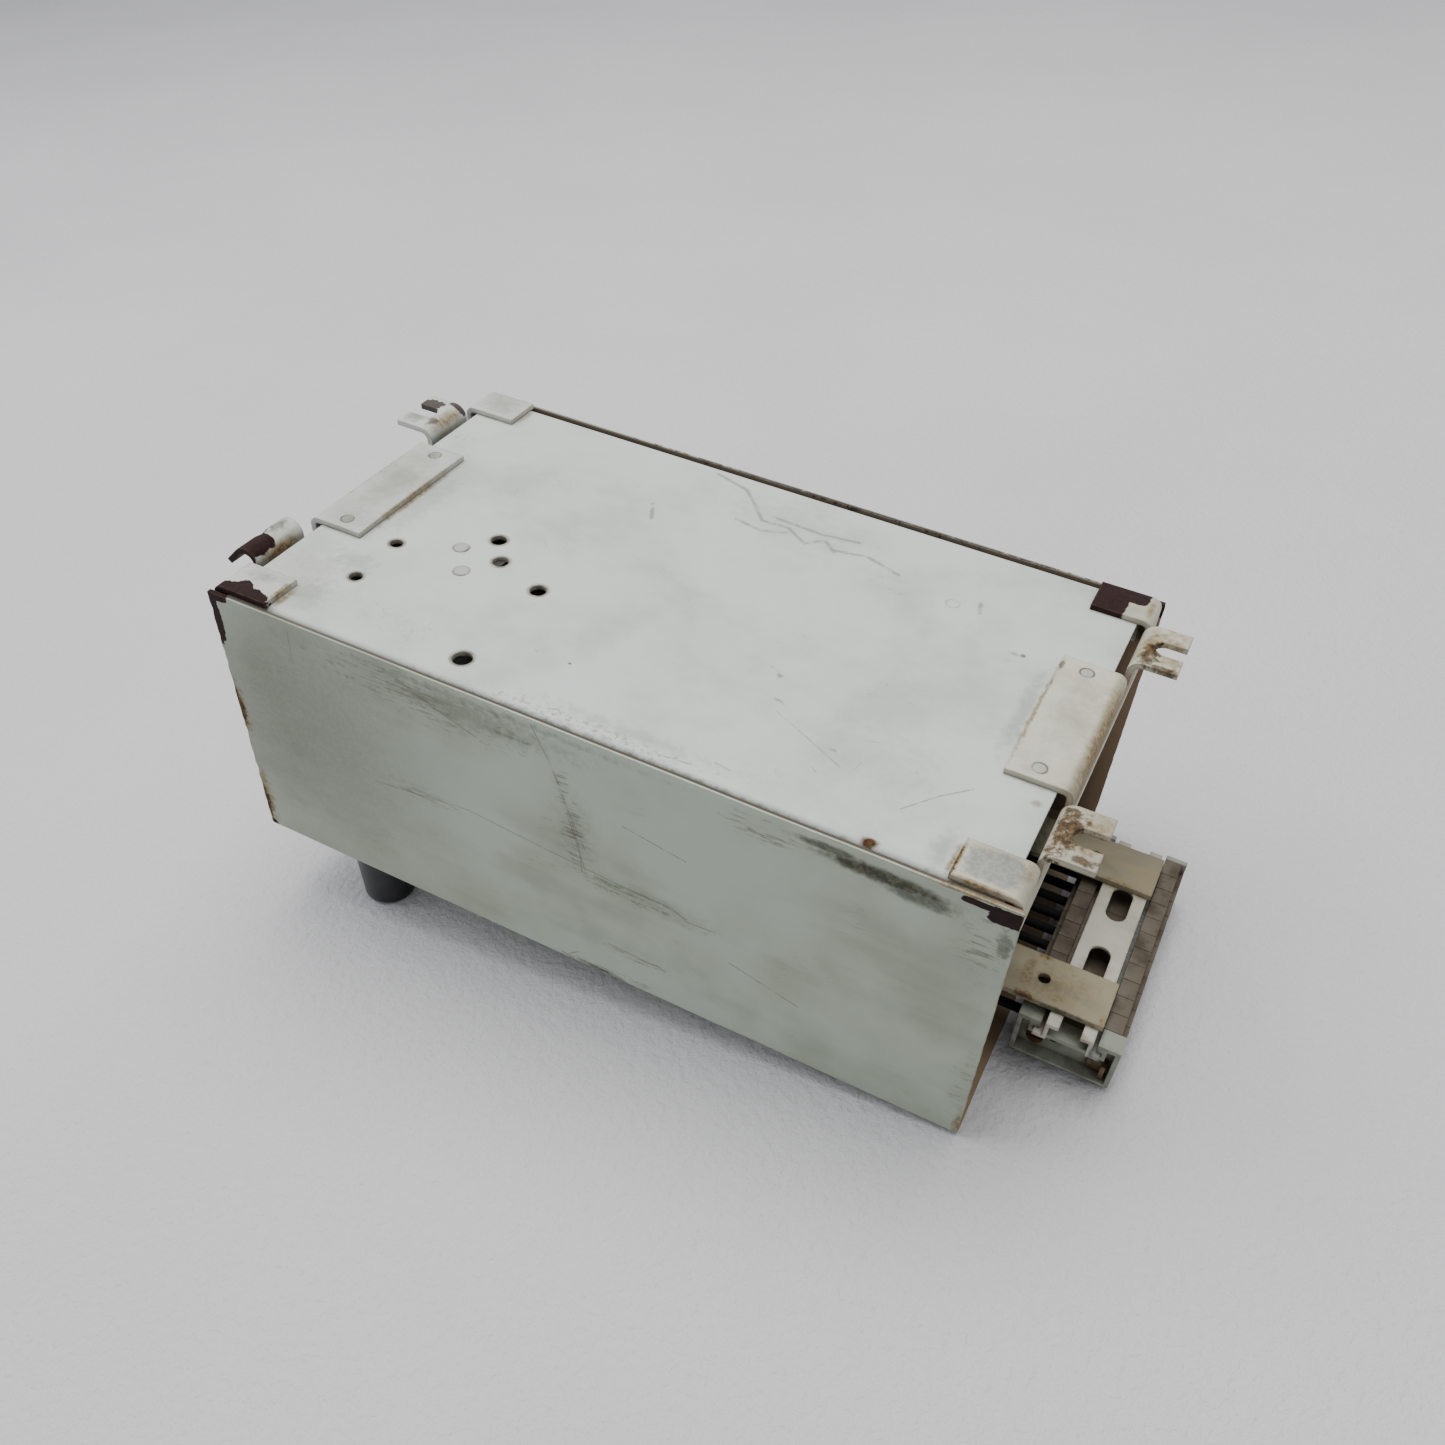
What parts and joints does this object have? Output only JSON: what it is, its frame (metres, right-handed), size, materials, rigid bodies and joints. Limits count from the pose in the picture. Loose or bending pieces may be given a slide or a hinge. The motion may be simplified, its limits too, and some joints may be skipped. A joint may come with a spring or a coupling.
{
  "type": "garage door opener control box",
  "caption": "Wall-mounted sheet-metal control box for a garage door opener, with forked feet, a terminal rail on two arms at one end, and control knobs on the front.",
  "frame": {"origin": "centre of the four forked feet on their seating plane", "axes": "+Z out of the back towards the wall, +X along the box to the terminal end, -Y the side with the lower row of spare holes"},
  "size_m": [0.2367, 0.114, 0.1026],
  "materials": {
    "case_paint": "semi-matt grey-green paint, scratched, chipped to dark primer",
    "rivet_paint": "painted over rivet heads",
    "bracket_paint": "beige paint, rust stained",
    "zinc_steel": "dull zinc plate",
    "aluminium": "satin",
    "black_plastic": "smooth moulded",
    "terminal_plastic": "moulded grey plastic, dirty",
    "brass_screw": "tarnished",
    "wire_jacket": "soft plastic insulation",
    "board_laminate": "green solder mask",
    "core_steel": "varnished laminations",
    "bobbin_plastic": "moulded",
    "winding_tape": "yellow tape over wire",
    "relay_plastic": "moulded",
    "capacitor_sleeve": "heat-shrunk sleeve",
    "fuse_glass": "clear tube with metal caps",
    "header_plastic": "moulded nylon"
  },
  "bodies": {
    "cover_body": {"cover": "case_paint", "cover_screws": "zinc_steel", "near_potentiometer": "aluminium", "far_potentiometer": "aluminium", "potentiometer_nuts": "zinc_steel"},
    "near_knob_body": {"near_knob": "black_plastic", "near_knob_shaft": "zinc_steel", "near_knob_screw": "zinc_steel"},
    "far_knob_body": {"far_knob": "black_plastic", "far_knob_shaft": "zinc_steel", "far_knob_screw": "zinc_steel"},
    "chassis": {"aerial_coil": "brass_screw", "back_plate": "case_paint", "board_studs": "zinc_steel", "bulkhead": "bracket_paint", "circuit_board": "board_laminate", "closing_relay": "relay_plastic", "controller_chip": "black_plastic", "end_clamp": "terminal_plastic", "end_clamp_clip": "zinc_steel", "end_clamp_screw": "brass_screw", "flange_rivets": "rivet_paint", "fuse": "fuse_glass", "fuse_holder": "black_plastic", "heat_sink": "aluminium", "lamp_relay": "relay_plastic", "learn_button_case": "black_plastic", "left_end_panel": "case_paint", "loom_wires": "wire_jacket", "main_capacitor": "capacitor_sleeve", "opening_relay": "relay_plastic", "plate_rivets": "rivet_paint", "receiver_module": "board_laminate", "rectifier": "black_plastic", "regulator": "black_plastic", "right_end_panel": "case_paint", "small_capacitors": "capacitor_sleeve", "stud_nuts": "zinc_steel", "terminal_block_01": "terminal_plastic", "terminal_block_02": "terminal_plastic", "terminal_block_03": "terminal_plastic", "terminal_block_04": "terminal_plastic", "terminal_block_05": "terminal_plastic", "terminal_block_06": "terminal_plastic", "terminal_block_07": "terminal_plastic", "terminal_block_08": "terminal_plastic", "terminal_block_09": "terminal_plastic", "terminal_block_10": "terminal_plastic", "terminal_block_11": "terminal_plastic", "terminal_end_plate": "terminal_plastic", "terminal_rail": "bracket_paint", "terminal_screws": "zinc_steel", "transformer_bobbin": "bobbin_plastic", "transformer_core": "core_steel", "transformer_leads": "wire_jacket", "transformer_strap": "zinc_steel", "transformer_studs": "zinc_steel", "transformer_winding": "winding_tape", "wire_header": "header_plastic"},
    "learn_button": {"learn_button_cap": "black_plastic"}
  },
  "joints": [
    {"name": "chassis_lift", "type": "slide", "parent": "cover_body", "child": "chassis", "axis": [0, 0, 1], "range_m": [0, 0.095]},
    {"name": "near_knob_turn", "type": "hinge", "parent": "cover_body", "child": "near_knob_body", "pos_m": [-0.0724, -0.0458, -0.09], "axis": [0, 0, 1], "range_deg": [-150, 150]},
    {"name": "far_knob_turn", "type": "hinge", "parent": "cover_body", "child": "far_knob_body", "pos_m": [-0.0724, 0.0458, -0.09], "axis": [0, 0, 1], "range_deg": [-150, 150]},
    {"name": "learn_button_press", "type": "slide", "parent": "chassis", "child": "learn_button", "axis": [0, 0, 1], "range_m": [0, 0.0003], "stiffness_N_per_m": 800, "springref_m": -0.0005}
  ]
}
